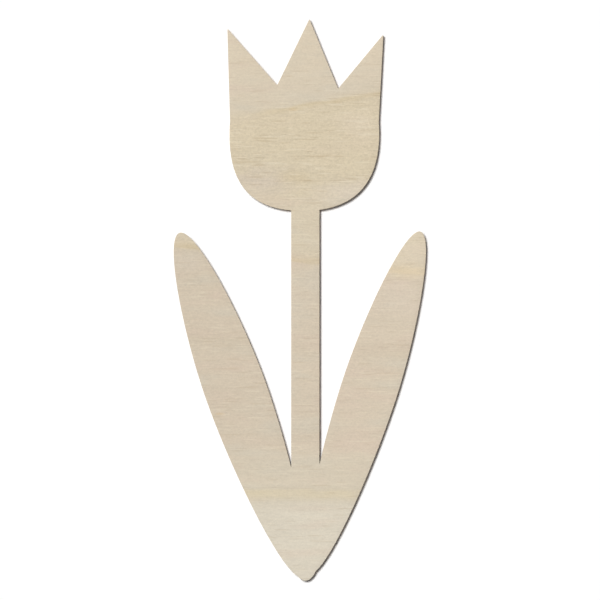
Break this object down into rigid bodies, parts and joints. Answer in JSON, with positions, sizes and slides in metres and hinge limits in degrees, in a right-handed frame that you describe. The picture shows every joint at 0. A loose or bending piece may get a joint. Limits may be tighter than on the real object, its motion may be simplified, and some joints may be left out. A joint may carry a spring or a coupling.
{
  "type": "wooden tulip craft blank",
  "caption": "Flat plywood tulip with a crown-shaped flower, a straight stem and leaning leaves, for painting, glueing or hanging as an ornament.",
  "frame": {"origin": "middle of the bounding box of the back face, which lies on the table", "axes": "+Y from the foot up to the petals, +X to the right as seen from the front, +Z out of the front face"},
  "size_m": [0.0674, 0.1498, 0.003],
  "materials": {
    "face_veneer": "bare sanded pale veneer, grain across the tulip",
    "core_veneer": "bare veneer, grain along the stem, only its toasted cut edge shows",
    "glue": "cured resin film, browned where it was cut"
  },
  "bodies": {
    "root": {"front_face_veneer": "face_veneer", "front_glue_line": "glue", "core_veneer": "core_veneer", "back_glue_line": "glue", "back_face_veneer": "face_veneer"}
  },
  "joints": []
}
